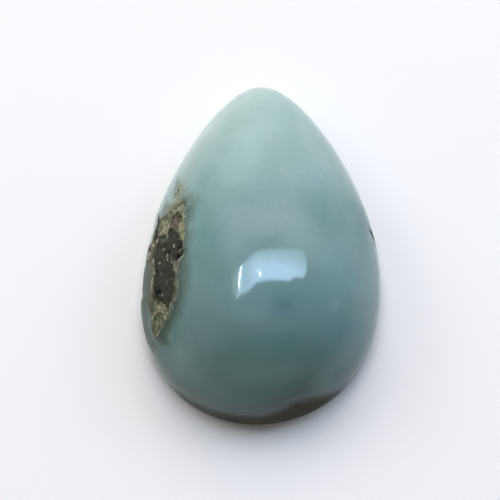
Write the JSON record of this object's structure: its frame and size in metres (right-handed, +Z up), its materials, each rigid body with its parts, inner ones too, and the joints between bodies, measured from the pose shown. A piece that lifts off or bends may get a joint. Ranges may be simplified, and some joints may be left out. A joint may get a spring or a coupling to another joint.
{
  "type": "larimar cabochon",
  "caption": "Pear-shaped, high-domed cabochon of blue-green larimar with a dark host-rock patch on its left flank and a flat back.",
  "frame": {"origin": "centre of the flat back, under the middle of the outline's bounding box", "axes": "+Y along the stone towards its narrow end, +Z up out of the dome, +X to the right as seen from above"},
  "size_m": [0.0174, 0.025, 0.0085],
  "materials": {
    "larimar": "polished"
  },
  "bodies": {
    "root": {"larimar_cabochon": "larimar"}
  },
  "joints": []
}
